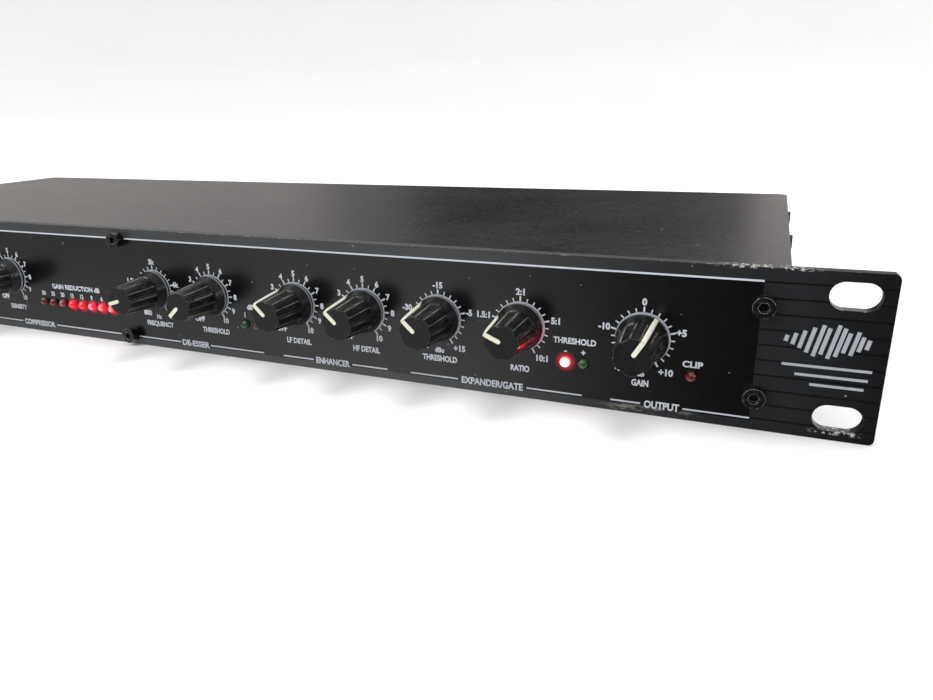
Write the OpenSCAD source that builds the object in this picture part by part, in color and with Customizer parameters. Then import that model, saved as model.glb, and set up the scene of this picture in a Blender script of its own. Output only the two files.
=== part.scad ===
// Voice processor for a 19-inch rack, one unit high: microphone preamplifier, compressor,
// de-esser, enhancer, gate and output stage in one steel case behind an aluminium panel.
// Millimetres. +X is to the right seen from the front, +Y goes back, +Z is up. The origin is
// the middle of the panel's rear face, the plane that meets the rack's rails.

/* [Panel] */
// Width of the front panel over both ears
panel_w = 482.6; // [482:0.1:484]
// Height of the front panel, one rack unit less its clearance
panel_h = 43.7; // [43.4:0.1:44.2]
// Thickness of the front panel
panel_t = 3; // [2.5:0.1:3.2]
// Corner radius of the front panel
panel_corner = 1.5; // [0.5:0.1:2.5]
// Distance between the slot centres of the two ears
slot_span = 465.1; // [464.5:0.1:465.5]
// Distance between the upper and lower slot centres
slot_rise = 31.75; // [31.5:0.05:32]
// Length of a rack slot from end to end
slot_len = 11.4; // [9:0.1:12]
// Width of a rack slot
slot_wid = 7; // [6.5:0.1:7.2]

/* [Case] */
// Width of the case over the top cover
case_w = 436.5; // [434:0.5:440]
// Depth of the case behind the panel
case_d = 146; // [140:1:220]
// Height of the top cover's upper face above the middle of the panel
case_top = 21.15; // [20.8:0.05:21.4]
// Depth of the case's underside below the middle of the panel
case_bottom = 21.2; // [20.8:0.05:21.4]
// Thickness of the case's sheet steel
sheet = 1.2; // [1:0.1:1.5]
// Plan radius of the case's rear corners
case_corner = 3.5; // [3:0.1:6]
// How far the cover's sides reach down
cover_skirt = 12; // [8:1:16]

/* [Knobs] */
// Height of the knob centres above the middle of the panel
knob_z = 0.3; // [-1:0.1:1]
// Distance between neighbouring knobs
knob_pitch = 25.8; // [24:0.1:26.5]
// Height of a knob's face above the panel
knob_h = 16.5; // [14:0.5:20]
// Radius of a knob's skirt
skirt_r = 7.1; // [7:0.1:8]
// Radius of a knob's body at the face
face_r = 5; // [4.8:0.1:5.4]

/* [Lamps and buttons] */
// Diameter of an indicator lamp
lamp_d = 3; // [2.8:0.1:3]
// Depth of the lamp row below the middle of the panel
lamp_drop = 8.9; // [8:0.1:10]
// Distance between the lamps of the gain-reduction row
lamp_pitch = 5.2; // [5:0.1:5.5]
// Width of a push button's cap
button_w = 9; // [7:0.5:10]
// Height of a push button's cap
button_h = 5; // [4:0.5:6]
// How far a push button stands out of the panel
button_out = 3.5; // [3:0.5:5]

/* [Hidden] */
$fn = 48;
clear = 0.3;      // gap around what slides
fit = 0.05;       // radial gap around what turns
eps = 0.01;

// Where the controls stand along the panel
gain_x = 183.8;
ratio_x = 149.25;
gate_x = ratio_x - knob_pitch;
hf_x = gate_x - knob_pitch;
lf_x = hf_x - knob_pitch;
deess_x = 36.8;
freq_x = deess_x - knob_pitch;
density_x = -64.6;
drive_x = density_x - knob_pitch;
mic_x = -127;
KNOB_X = [mic_x, drive_x, density_x, freq_x, deess_x, lf_x, hf_x, gate_x, ratio_x, gain_x];

// Lamps: the gain-reduction row starts at the left, the others sit beside their controls
reduction_x = -48.2;
RED_X = concat([for (i = [0:7]) reduction_x + i * lamp_pitch], [-110, 55.4, 162.8, 197]);
GREEN_X = [50.2, 168];
BUTTON_X = [-192, -172, -152];
button_z = -1.2;
yellow_z = 6.5;

// Screws that hold the panel to the case: two at each end, two in the middle
PANEL_SCREWS = [[-212.9, 12.1], [-212.9, -12.1], [-3.1, 18], [-3.1, -18], [212.9, 12.1],
    [212.9, -12.1]];
COVER_SCREW_Y = [20, 73, 126];
cover_screw_z = 14;

// Stations along Y: tray, control board, main board
tray_w = case_w - 2 * sheet - 0.2;
tray_d = case_d - sheet - 0.1;
tray_top = case_top - sheet - 0.1;
corner_in = case_corner - sheet;
floor_z = sheet - case_bottom;
pot_back = 10.5;
fboard_y = 11.5;
board_t = 1.6;
standoff_h = 5;
mboard_z = floor_z + standoff_h;
mboard_top = mboard_z + board_t;
mboard_x = [-205, 95];
mboard_y = [18, 140];
BOARD_HOLES = [for (x = [-199, -55, 89], y = [24, 134]) [x, y]];

// Knob and pot sizes
shaft_r = 3;
bushing_r = 3.5;
nut_af = 10;
skirt_gap = 0.8;
shoulder_r = 5.95;
shoulder_h = 4.2;
groove_w = 1.7;
groove_deep = 0.55;
pointer_w = 1.25;
pointer_out = 0.25;

// Rear sockets, left to right seen from the front
mic_in_x = -180;
JACK_X = [-145, -115, 20];
line_out_x = 55;
rocker_x = 138;
inlet_x = 176;
xlr_hole_r = 11.9;
xlr_in_bore = 9.6;
xlr_out_bore = 8.2;
jack_bore = 3.25;
jack_thread = 4.6;
rear_y = tray_d;
rocker_y = rear_y - 1;
rocker_lean = 9;
FOOT_X = [149, 203];
foot_y = 84;

// Child shapes stand on the panel's plane at y, their +Z pointing out of the front
module front_at(x, z, y = 0) translate([x, y, z]) rotate([90, 0, 0]) children();

// Child shapes stand on a plane at y, their +Z pointing to the rear, their +Y down
module rear_at(x, z, y = 0) translate([x, y, z]) rotate([-90, 0, 0]) children();

// A box given by its low and high corners
module span(lo, hi) translate(lo) cube(hi - lo);

// Rectangle with round corners
module round_rect(w, h, r) {
    square([w - 2 * r, h], center = true);
    square([w, h - 2 * r], center = true);
    for (sx = [-1, 1], sy = [-1, 1])
        translate([sx * (w / 2 - r), sy * (h / 2 - r)]) circle(r);
}

// Plan of the case: square at the front, round at the two rear corners
module case_plan(w, d, r, front = 0) {
    translate([-w / 2, front]) square([w, d - front - r]);
    translate([r - w / 2, front]) square([w - 2 * r, d - front]);
    for (s = [-1, 1]) translate([s * (w / 2 - r), d - r]) circle(r);
}

// Socket-head cap screw, head outwards, shank along -Z
module cap_screw(head_r, head_h, shank_r, shank_l, key) {
    difference() {
        cylinder(r = head_r, h = head_h);
        translate([0, 0, head_h / 2]) cylinder(r = key / sqrt(3), h = head_h, $fn = 6);
    }
    translate([0, 0, -shank_l]) cylinder(r = shank_r, h = shank_l + eps);
}

// Pan-head screw with a cross recess
module pan_screw(head_r, head_h, shank_r, shank_l) {
    difference() {
        cylinder(r = head_r, h = head_h);
        for (a = [0, 90]) rotate(a) translate([0, 0, head_h])
            cube([head_r * 1.2, head_r * 0.25, head_h], center = true);
    }
    translate([0, 0, -shank_l]) cylinder(r = shank_r, h = shank_l + eps);
}

// ---- Panel and case ----

module front_panel() color("#2b2e31") difference() {
    front_at(0, 0) linear_extrude(panel_t) difference() {
        round_rect(panel_w, panel_h, panel_corner);
        for (sx = [-1, 1], sz = [-1, 1]) translate([sx * slot_span / 2, sz * slot_rise / 2])
            round_rect(slot_len, slot_wid, slot_wid / 2 - eps);
        for (x = KNOB_X) translate([x, knob_z]) circle(bushing_r + clear);
        for (x = concat(RED_X, GREEN_X)) translate([x, -lamp_drop]) circle(lamp_d / 2 + 0.1);
        for (x = BUTTON_X) translate([x, yellow_z]) circle(lamp_d / 2 + 0.1);
        for (x = BUTTON_X) translate([x, button_z])
            square([button_w + 2 * clear, button_h + 2 * clear], center = true);
        for (s = PANEL_SCREWS) translate(s) circle(1.7);
    }
}

module panel_screws() color("#1c1c1e") for (s = PANEL_SCREWS)
    front_at(s[0], s[1], -panel_t) cap_screw(2.75, 3, 1.5, 9, 2.5);

// Floor and two sides in one folded sheet, with a narrow return at each rear corner
module chassis_tray() color("#303336") difference() {
    translate([0, 0, -case_bottom]) linear_extrude(case_bottom + tray_top)
        case_plan(tray_w, tray_d, case_corner - sheet, sheet);
    difference() {
        span([sheet - tray_w / 2, 0, floor_z], [tray_w / 2 - sheet, tray_d - sheet, case_top]);
        tray_feet();
    }
    rear_wall();
    for (s = [-1, 1], y = COVER_SCREW_Y) translate([s * tray_w / 2, y, cover_screw_z])
        rotate([0, 90, 0]) cylinder(r = 1.6, h = 6, center = true);
}

// Bosses pressed into the floor under the transformer
module tray_feet() for (x = FOOT_X) translate([x, foot_y, floor_z - eps]) difference() {
    cylinder(r = 4, h = 2 + eps);
    translate([0, 0, 1]) cylinder(r = 1.5, h = 3);
}

// Plate behind the front panel, welded across the ends of the tray
module front_plate() color("#303336") difference() {
    span([-tray_w / 2, 0, -case_bottom], [tray_w / 2, sheet, tray_top]);
    tray_front_holes();
}

// Plate that carries the sockets, set between the tray's rear returns
module rear_wall() span([corner_in - tray_w / 2, tray_d - sheet, -case_bottom],
    [tray_w / 2 - corner_in, tray_d, tray_top]);

module rear_plate() color("#303336") difference() {
    rear_wall();
    tray_rear_holes();
}

module tray_front_holes() {
    for (x = KNOB_X) front_at(x, knob_z, 2 * sheet) cylinder(r = bushing_r + 0.1, h = 3 * sheet);
    for (x = concat(RED_X, GREEN_X))
        front_at(x, -lamp_drop, 2 * sheet) cylinder(r = 2.2, h = 3 * sheet);
    for (x = BUTTON_X) {
        front_at(x, yellow_z, 2 * sheet) cylinder(r = 2.2, h = 3 * sheet);
        translate([x, sheet / 2, button_z])
            cube([button_w + 1, 3 * sheet, button_h + 1], center = true);
    }
    for (s = PANEL_SCREWS) front_at(s[0], s[1], 2 * sheet) cylinder(r = 1.55, h = 3 * sheet);
}

module tray_rear_holes() {
    for (x = [mic_in_x, line_out_x]) {
        rear_at(x, 0, rear_y - 3) cylinder(r = xlr_hole_r + 0.1, h = 6);
        for (s = [-1, 1]) rear_at(x + s * 9.5, -s * 12, rear_y - 3) cylinder(r = 1.6, h = 6);
    }
    span([mic_in_x - 3.3, rear_y - 3, 10], [mic_in_x + 3.3, rear_y + 3, 14.9]);
    for (x = JACK_X) rear_at(x, 0, rear_y - 3) cylinder(r = jack_thread + 0.1, h = 6);
    translate([rocker_x, rear_y, 0]) cube([13.4, 6, 20.2], center = true);
    translate([inlet_x, rear_y, 0]) cube([28.2, 6, 20.8], center = true);
}

// Cover: a shallow pan whose sides hang outside the tray, with a low lip at the rear
module top_cover() color("#2f3235") difference() {
    translate([0, 0, case_top - cover_skirt]) linear_extrude(cover_skirt)
        case_plan(case_w, case_d, case_corner, 0.2);
    translate([0, 0, case_top - cover_skirt - 1]) linear_extrude(cover_skirt + 1 - sheet)
        case_plan(case_w - 2 * sheet, case_d - sheet, case_corner - sheet, -1);
    span([-case_w / 2 + 6, case_d - 6, 0], [case_w / 2 - 6, case_d + 1, case_top - 4]);
    for (s = [-1, 1], y = COVER_SCREW_Y) translate([s * case_w / 2, y, cover_screw_z])
        rotate([0, 90, 0]) cylinder(r = 1.7, h = 6, center = true);
}

module cover_screws() color("#232325") for (s = [-1, 1], y = COVER_SCREW_Y)
    translate([s * case_w / 2, y, cover_screw_z]) rotate([0, s * 90, 0])
        pan_screw(2.8, 1.7, 1.5, 5);

// ---- Knobs, shafts and pots ----

// Knob seen from the front: fluted tapering body, flared skirt, pointer rib at twelve o'clock
// before it is turned clockwise to its setting
module knob(x, turn) color("#1b1b1d") front_at(x, knob_z, -panel_t) rotate(-turn) {
    difference() {
        rotate_extrude($fn = 64) polygon([
            [0, knob_h], [face_r - 0.25, knob_h], [face_r, knob_h - 0.25],
            [shoulder_r, shoulder_h], [shoulder_r + 0.2, shoulder_h - 0.25],
            [skirt_r, skirt_gap + 0.6], [skirt_r, skirt_gap], [skirt_r - 1, skirt_gap],
            [skirt_r - 1, 2.6], [shaft_r + 0.02, 2.6], [shaft_r + 0.02, knob_h - 2.5],
            [0, knob_h - 2.5]]);
        for (a = [60:60:300]) rotate(a) knob_groove();
    }
    knob_pointer();
}

// One flute, cut square, following the taper of the body
module knob_groove() {
    lean = atan((shoulder_r - face_r) / (knob_h - shoulder_h));
    translate([0, shoulder_r - groove_deep, shoulder_h + 0.6]) rotate([lean, 0, 0])
        translate([-groove_w / 2, 0, 0]) cube([groove_w, 3, knob_h]);
}

// Rib along the face and down the side of the body
module knob_pointer() {
    lean = atan((shoulder_r - face_r) / (knob_h - shoulder_h));
    intersection() {
        union() {
            translate([-pointer_w / 2, 1.9, knob_h - 1]) cube([pointer_w, 3.1, 1 + pointer_out]);
            translate([0, 1.9, knob_h - 1]) cylinder(d = pointer_w, h = 1 + pointer_out);
            translate([0, shoulder_r - 1, shoulder_h]) rotate([lean, 0, 0])
                translate([-pointer_w / 2, 0, 0]) cube([pointer_w, 1 + pointer_out, knob_h]);
        }
        translate([-3, 1, 3]) cube([6, 8, knob_h - 3 + pointer_out]);
    }
}

module shaft(x, turn) color("#b9bbbd") front_at(x, knob_z, 5.5) rotate(-turn) difference() {
    cylinder(r = shaft_r, h = 5.5 + panel_t + knob_h - 2.8);
    translate([-4, -shaft_r - 3 + 1.5, 15]) cube([8, 3, 20]);
}

module knob_mic_gain() knob(mic_x, -20);
module knob_drive() knob(drive_x, 10);
module knob_density() knob(density_x, -35);
module knob_frequency() knob(freq_x, -107);
module knob_deess_threshold() knob(deess_x, -132);
module knob_lf_detail() knob(lf_x, -46);
module knob_hf_detail() knob(hf_x, -47);
module knob_gate_threshold() knob(gate_x, -47);
module knob_ratio() knob(ratio_x, -67);
module knob_output_gain() knob(gain_x, 31);
module shaft_mic_gain() shaft(mic_x, -20);
module shaft_drive() shaft(drive_x, 10);
module shaft_density() shaft(density_x, -35);
module shaft_frequency() shaft(freq_x, -107);
module shaft_deess_threshold() shaft(deess_x, -132);
module shaft_lf_detail() shaft(lf_x, -46);
module shaft_hf_detail() shaft(hf_x, -47);
module shaft_gate_threshold() shaft(gate_x, -47);
module shaft_ratio() shaft(ratio_x, -67);
module shaft_output_gain() shaft(gain_x, 31);

module pot_bodies() color("#3a5a7a") for (x = KNOB_X) {
    difference() {
        span([x - 8, sheet, knob_z - 8.5], [x + 8, pot_back, knob_z + 7.5]);
        front_at(x, knob_z, 6.5) cylinder(r = shaft_r + 0.3, h = 10);
    }
    for (i = [-1:1]) span([x + 5 * i - 0.5, pot_back - eps, knob_z - 8],
        [x + 5 * i + 0.5, fboard_y, knob_z - 7]);
}

module pot_bushings() color("#c9a560") for (x = KNOB_X) front_at(x, knob_z, sheet) difference() {
    cylinder(r = bushing_r, h = sheet + panel_t + 2.3);
    translate([0, 0, -1]) cylinder(r = shaft_r + fit, h = 20);
}

module pot_nuts() color("#c8cacc") for (x = KNOB_X) front_at(x, knob_z, -panel_t) difference() {
    cylinder(r = nut_af / sqrt(3), h = 1.8, $fn = 6);
    translate([0, 0, -1]) cylinder(r = bushing_r + fit, h = 4);
}

// ---- Buttons ----

module button(x) color("#26272a") {
    front_at(x, button_z, 1.8) linear_extrude(1.8 + panel_t + button_out)
        round_rect(button_w, button_h, 0.6);
    span([x - 1.5, 1.8 - eps, button_z - 1.5], [x + 1.5, 7, button_z + 1.5]);
}
module button_phantom() button(BUTTON_X[0]);
module button_highpass() button(BUTTON_X[1]);
module button_bypass() button(BUTTON_X[2]);

module switch_bodies() color("#151517") for (x = BUTTON_X) difference() {
    span([x - 4, 6, button_z - 4], [x + 4, fboard_y, button_z + 4]);
    span([x - 1.8, 5, button_z - 1.8], [x + 1.8, 10.5, button_z + 1.8]);
}

// ---- Lamps ----

// Round lamp with a domed nose and two legs that reach the control board
module lamp(x, z) front_at(x, z, 0) {
    translate([0, 0, -4]) cylinder(d = lamp_d, h = 4 + panel_t + 0.3);
    translate([0, 0, -4.6]) cylinder(d = lamp_d + 0.8, h = 0.8);
    translate([0, 0, panel_t + 0.3]) intersection() {
        sphere(d = lamp_d);
        translate([0, 0, 2]) cube(4, center = true);
    }
    for (s = [-1, 1]) translate([s * 0.63 - 0.22, -0.22, -fboard_y])
        cube([0.44, 0.44, fboard_y - 4.5]);
}
module leds_red() color("#8c1410") for (x = RED_X) lamp(x, -lamp_drop);
module leds_green() color("#2f7a3c") for (x = GREEN_X) lamp(x, -lamp_drop);
module leds_yellow() color("#c9a227") for (x = BUTTON_X) lamp(x, yellow_z);

// ---- Boards ----

module front_board() color("#2c6b3f") span([-204, fboard_y, -15], [206, fboard_y + board_t, 16]);

module main_board() color("#2c6b3f") difference() {
    span([mboard_x[0], mboard_y[0], mboard_z], [mboard_x[1], mboard_y[1], mboard_top]);
    for (p = BOARD_HOLES) translate([p[0], p[1], mboard_z - 1]) cylinder(r = 1.6, h = 4);
}

module board_link() color("#1d1d1f") for (x = [-150, 40]) {
    span([x - 25, 18.5, mboard_top], [x + 25, 23.5, mboard_top + 8]);
    span([x - 24, fboard_y + board_t, mboard_top + 3], [x + 24, 18.5, mboard_top + 6]);
}

module board_standoffs() color("#c3b27a") for (p = BOARD_HOLES)
    translate([p[0], p[1], floor_z]) difference() {
        cylinder(r = 3, h = standoff_h, $fn = 6);
        translate([0, 0, 0.5]) cylinder(r = 1.55, h = 6);
    }

module filter_capacitors() color("#22355e") for (x = [66, 84], y = [44, 64, 84]) {
    translate([x, y, mboard_top]) cylinder(r = 8, h = 25);
    translate([x, y, mboard_top + 24.9]) cylinder(r = 7.2, h = 0.6);
}

module small_capacitors() color("#2a2c34") for (x = [-180:20:20], y = [36, 92])
    translate([x, y, mboard_top]) cylinder(r = 3, h = 7);

module ic_chips() color("#1a1a1c") for (x = [-170:30:10], y = [50, 72]) {
    span([x - 5, y - 3.2, mboard_top + 0.5], [x + 5, y + 3.2, mboard_top + 4]);
    for (s = [-1, 1]) span([x - 4.4, y + s * 3.6 - 0.5, mboard_top],
        [x + 4.4, y + s * 3.6 + 0.5, mboard_top + 2]);
}

module heat_sink() color("#9a9ca0") {
    span([58, 102, mboard_top], [90, 105, mboard_top + 26]);
    for (x = [58:5.8:88]) span([x, 104.9, mboard_top], [x + 1.8, 116, mboard_top + 26]);
}

// ---- Power ----

module inlet_body() color("#151517") difference() {
    union() {
        span([inlet_x - 15.5, rear_y, -12], [inlet_x + 15.5, rear_y + 3, 12]);
        span([inlet_x - 14, rear_y - 20, -10.3], [inlet_x + 14, rear_y + eps, 10.3]);
    }
    rear_at(inlet_x, 0, rear_y - 15) linear_extrude(20) inlet_outline();
}

// Mouth of the mains inlet: a rectangle with its two upper corners cut off
module inlet_outline() polygon([[-12, 8], [12, 8], [12, -3.6], [7.6, -8], [-7.6, -8],
    [-12, -3.6]]);

module inlet_pins() color("#c8cacc") for (p = [[-7, 2], [7, 2], [0, -2]]) {
    span([inlet_x + p[0] - 1, rear_y - 15, -p[1] - 2], [inlet_x + p[0] + 1, rear_y - 3, -p[1] + 2]);
    span([inlet_x + p[0] - 2.4, rear_y - 28, -p[1] - 0.4],
        [inlet_x + p[0] + 2.4, rear_y - 20, -p[1] + 0.4]);
}

module rocker_housing() color("#151517") difference() {
    union() {
        span([rocker_x - 7.6, rear_y, -10.9], [rocker_x + 7.6, rear_y + 1.6, 10.9]);
        span([rocker_x - 6.6, rear_y - 16, -10], [rocker_x + 6.6, rear_y + eps, 10]);
    }
    span([rocker_x - 5.3, rocker_y - 6, -8.9], [rocker_x + 5.3, rear_y + 3, 8.9]);
    translate([rocker_x, rocker_y, 0]) rotate([0, 90, 0])
        cylinder(r = 1.2 + fit, h = 12.4, center = true);
}

// Rocker with its upper end pressed in, which is the on position
module power_rocker() color("#202124") translate([rocker_x, rocker_y, 0])
    rotate([rocker_lean, 0, 0]) {
        translate([-5, 0, 0]) rotate([90, 0, 90]) linear_extrude(10)
            polygon([[3.1, 8], [1.6, 0], [3.1, -8], [-2, -7.4], [-4, 0], [-2, 7.4]]);
        rotate([0, 90, 0]) cylinder(r = 1.2, h = 12, center = true);
    }

module transformer_core() color("#6d7075") {
    span([152, 66, floor_z + 2], [200, 102, floor_z + 6]);
    span([152, 66, floor_z + 28], [200, 102, floor_z + 34]);
    for (x = [152, 194]) span([x, 66, floor_z + 5.9], [x + 6, 102, floor_z + 28.1]);
    span([170, 66, floor_z + 5.9], [182, 102, floor_z + 28.1]);
    for (x = FOOT_X) difference() {
        span([x - 4, 80, floor_z + 2], [x + 4, 88, floor_z + 3.5]);
        translate([x, foot_y, floor_z]) cylinder(r = 1.5, h = 5);
    }
}

module transformer_coil() color("#c8a840") difference() {
    span([159, 60, floor_z + 7], [193, 108, floor_z + 27]);
    span([169.5, 50, floor_z + 5], [182.5, 120, floor_z + 29]);
}

// Equal screws that hold the main board, the transformer and the two locking sockets
module fixing_screws() color("#c8cacc") {
    for (p = BOARD_HOLES) translate([p[0], p[1], mboard_top]) pan_screw(2.7, 1.7, 1.4, 5);
    for (x = FOOT_X) translate([x, foot_y, floor_z + 3.5]) pan_screw(2.7, 1.7, 1.4, 2);
    for (x = [mic_in_x, line_out_x], s = [-1, 1])
        rear_at(x + s * 9.5, -s * 12, rear_y + 2) pan_screw(2.7, 1.7, 1.4, 5);
}

// Wires from the inlet straight to the winding, and from the switch round to its side
module mains_harness() color("#6b3a24") for (s = [-1, 1]) {
    front_at(inlet_x + 7 * s, -2, rear_y - 28) cylinder(r = 1, h = rear_y - 28 - 108, $fn = 24);
    front_at(rocker_x, 4 * s, rear_y - 16) cylinder(r = 1, h = rear_y - 121, $fn = 24);
    translate([rocker_x, 105, 4 * s]) sphere(r = 1.4, $fn = 24);
    translate([rocker_x, 105, 4 * s]) rotate([0, 90, 0]) cylinder(r = 1, h = 21, $fn = 24);
}

// ---- Signal sockets ----

// Flange of a panel socket with its two screw holes
module xlr_flange() difference() {
    round_rect(26, 31, 3);
    for (s = [-1, 1]) translate([s * 9.5, s * 12]) circle(1.6);
}

module xlr_input_shell() color("#8d9094") rear_at(mic_in_x, 0, rear_y) difference() {
    union() {
        linear_extrude(2) xlr_flange();
        translate([0, 0, -20]) cylinder(r = xlr_hole_r, h = 20 + eps);
    }
    translate([0, 0, -18]) cylinder(r = xlr_in_bore, h = 30);
    translate([-3.3, -14.9, -5]) cube([6.6, 4.2, 8]);
}

module xlr_input_insert() color("#1b1b1d") rear_at(mic_in_x, 0, rear_y) difference() {
    translate([0, 0, -18]) cylinder(r = 7.5, h = 18.5);
    for (a = [90, 210, 330]) rotate(a) translate([3.9, 0, -10]) cylinder(r = 1.4, h = 20);
}

module xlr_latch() color("#a9acb0")
    span([mic_in_x - 3, rear_y - 1.8, 11.9], [mic_in_x + 3, rear_y + 4, 14.6]);

module xlr_output_shell() color("#8d9094") rear_at(line_out_x, 0, rear_y) difference() {
    union() {
        linear_extrude(2) xlr_flange();
        translate([0, 0, -20]) cylinder(r = xlr_hole_r, h = 20 + eps);
    }
    translate([0, 0, -16]) cylinder(r = xlr_out_bore, h = 30);
}

module xlr_output_insert() color("#c9a560") rear_at(line_out_x, 0, rear_y) {
    translate([0, 0, -16]) cylinder(r = 8, h = 2);
    for (a = [90, 210, 330]) rotate(a) translate([3.9, 0, -14.5]) {
        cylinder(r = 1.2, h = 11);
        translate([0, 0, 11]) sphere(r = 1.2);
    }
}

module jack_bodies() color("#1b1b1d") for (x = JACK_X) rear_at(x, 0, rear_y - sheet) difference() {
    union() {
        translate([-8, -9.5, -24]) cube([16, 19, 24]);
        cylinder(r = jack_thread, h = 7);
    }
    translate([0, 0, -22]) cylinder(r = jack_bore, h = 40);
}

module jack_nuts() color("#c8cacc") for (x = JACK_X) rear_at(x, 0, rear_y) difference() {
    cylinder(r = 7.5, h = 2.2, $fn = 6);
    translate([0, 0, -1]) cylinder(r = jack_thread + fit, h = 5);
}

front_panel();
panel_screws();
chassis_tray();
front_plate();
rear_plate();
top_cover();
cover_screws();
knob_mic_gain();
knob_drive();
knob_density();
knob_frequency();
knob_deess_threshold();
knob_lf_detail();
knob_hf_detail();
knob_gate_threshold();
knob_ratio();
knob_output_gain();
shaft_mic_gain();
shaft_drive();
shaft_density();
shaft_frequency();
shaft_deess_threshold();
shaft_lf_detail();
shaft_hf_detail();
shaft_gate_threshold();
shaft_ratio();
shaft_output_gain();
pot_bodies();
pot_bushings();
pot_nuts();
button_phantom();
button_highpass();
button_bypass();
switch_bodies();
leds_red();
leds_green();
leds_yellow();
front_board();
main_board();
board_link();
board_standoffs();
filter_capacitors();
small_capacitors();
ic_chips();
heat_sink();
inlet_body();
inlet_pins();
rocker_housing();
power_rocker();
transformer_core();
transformer_coil();
fixing_screws();
mains_harness();
xlr_input_shell();
xlr_input_insert();
xlr_latch();
xlr_output_shell();
xlr_output_insert();
jack_bodies();
jack_nuts();
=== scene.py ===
import math

import bmesh
import bpy
from mathutils import Euler, Matrix, Vector


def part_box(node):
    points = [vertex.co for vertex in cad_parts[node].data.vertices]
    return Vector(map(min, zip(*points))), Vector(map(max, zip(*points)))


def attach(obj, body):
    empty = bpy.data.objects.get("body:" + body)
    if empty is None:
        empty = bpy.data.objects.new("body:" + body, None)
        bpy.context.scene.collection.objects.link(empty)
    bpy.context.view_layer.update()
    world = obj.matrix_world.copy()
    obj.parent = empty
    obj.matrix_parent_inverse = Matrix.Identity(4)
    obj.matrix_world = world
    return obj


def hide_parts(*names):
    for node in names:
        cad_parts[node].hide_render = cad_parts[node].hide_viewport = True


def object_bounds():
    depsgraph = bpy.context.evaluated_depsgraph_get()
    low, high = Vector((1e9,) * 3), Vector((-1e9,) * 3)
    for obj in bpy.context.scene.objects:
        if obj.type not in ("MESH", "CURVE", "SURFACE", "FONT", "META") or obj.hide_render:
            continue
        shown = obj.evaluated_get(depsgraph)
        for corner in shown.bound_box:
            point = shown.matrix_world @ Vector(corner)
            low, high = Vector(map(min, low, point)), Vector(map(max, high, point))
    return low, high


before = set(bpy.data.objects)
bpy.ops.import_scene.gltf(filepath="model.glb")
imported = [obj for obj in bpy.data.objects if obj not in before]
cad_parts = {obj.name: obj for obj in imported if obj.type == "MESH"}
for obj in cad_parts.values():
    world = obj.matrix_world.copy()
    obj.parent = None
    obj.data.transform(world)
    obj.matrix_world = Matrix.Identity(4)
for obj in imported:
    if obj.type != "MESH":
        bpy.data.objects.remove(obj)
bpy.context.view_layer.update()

# The pieces' lengths are in millimetres until they reach mm(), and the floor, lights and camera
# are in metres. Angles are in degrees, and a control's are clockwise from the top.
MM = 0.001
PANEL_FACE = -3.0                      # y of the painted face
PRINT_PROUD = 0.02                     # thickness of the ink
FIELD_EDGE = 212.3                     # x where the darker printed field meets the ears
EAR_EDGE = 241.3
TOP_LINE_Z, HEADING_Z = 18.3, -18.65   # the two printed lines that frame the field
SLOT_X, SLOT_Z, SLOT_HALF, SLOT_R = 232.55, 15.9, 5.9, 3.6
KNOB_Z = 0.3
LAMP_Z = -8.9
METER_X, METER_STEP = -48.2, 5.2       # the first gain-reduction lamp, and their spacing
GATE_LAMP_X = 162.8
PEAK_LAMP_X, CLIP_LAMP_X = -110.0, 197.0
BUTTON_X, BUTTON_LAMP_Z = (-192.0, -172.0, -152.0), 6.5


def mm(x, y, z):
    return Vector((x * MM, y * MM, z * MM))


# ---------------------------------------------------------------- materials

def add(tree, kind, inputs=None, **props):
    """One shader node. inputs maps a socket to a value or to another node's output."""
    node = tree.nodes.new("ShaderNode" + kind)
    for key, value in props.items():
        setattr(node, key, value)
    for key, value in (inputs or {}).items():
        if isinstance(value, bpy.types.NodeSocket):
            tree.links.new(value, node.inputs[key])
        else:
            node.inputs[key].default_value = value
    return node


def maths(tree, kind, a, b=0.0):
    return add(tree, "Math", {0: a, 1: b}, operation=kind).outputs[0]


def times(tree, *values):
    total = values[0]
    for value in values[1:]:
        total = maths(tree, "MULTIPLY", total, value)
    return total


def distance(tree, a, b):
    """How far a point is from an axis, from its two coordinates across it."""
    return maths(tree, "SQRT", maths(tree, "ADD", times(tree, a, a), times(tree, b, b)))


def remap(tree, value, a, b, c=0.0, d=1.0, smooth=False):
    """value between a and b becomes c to d, and stays there beyond them."""
    style = "SMOOTHSTEP" if smooth else "LINEAR"
    return add(tree, "MapRange", {0: value, 1: a, 2: b, 3: c, 4: d},
               interpolation_type=style).outputs[0]


def noise(tree, where, scale, detail=3.0, rough=0.55):
    return add(tree, "TexNoise", {"Vector": where, "Scale": scale, "Detail": detail,
                                  "Roughness": rough}).outputs[0]


def blend(tree, factor, a, b):
    node = add(tree, "Mix", {0: factor}, data_type="RGBA")
    for index, colour in ((6, a), (7, b)):
        if isinstance(colour, bpy.types.NodeSocket):
            tree.links.new(colour, node.inputs[index])
        else:
            node.inputs[index].default_value = (*colour, 1.0)
    return node.outputs[2]


def stretched(tree, where, scale):
    return add(tree, "Mapping", {"Vector": where, "Scale": scale}).outputs[0]


def place_of(tree):
    """The shaded point in the piece's own frame."""
    return add(tree, "TexCoord").outputs["Object"]


def axes_of(tree, where):
    return add(tree, "SeparateXYZ", {0: where}).outputs


def edge_mask(tree, width, low=0.02, high=0.16):
    """1 along sharp convex or concave edges, 0 on flats."""
    soft = add(tree, "Bevel", {"Radius": width * MM}, samples=6).outputs[0]
    flat = add(tree, "NewGeometry").outputs["Normal"]
    dot = add(tree, "VectorMath", {0: soft, 1: flat}, operation="DOT_PRODUCT").outputs["Value"]
    return remap(tree, maths(tree, "SUBTRACT", 1.0, dot), low, high)


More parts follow.
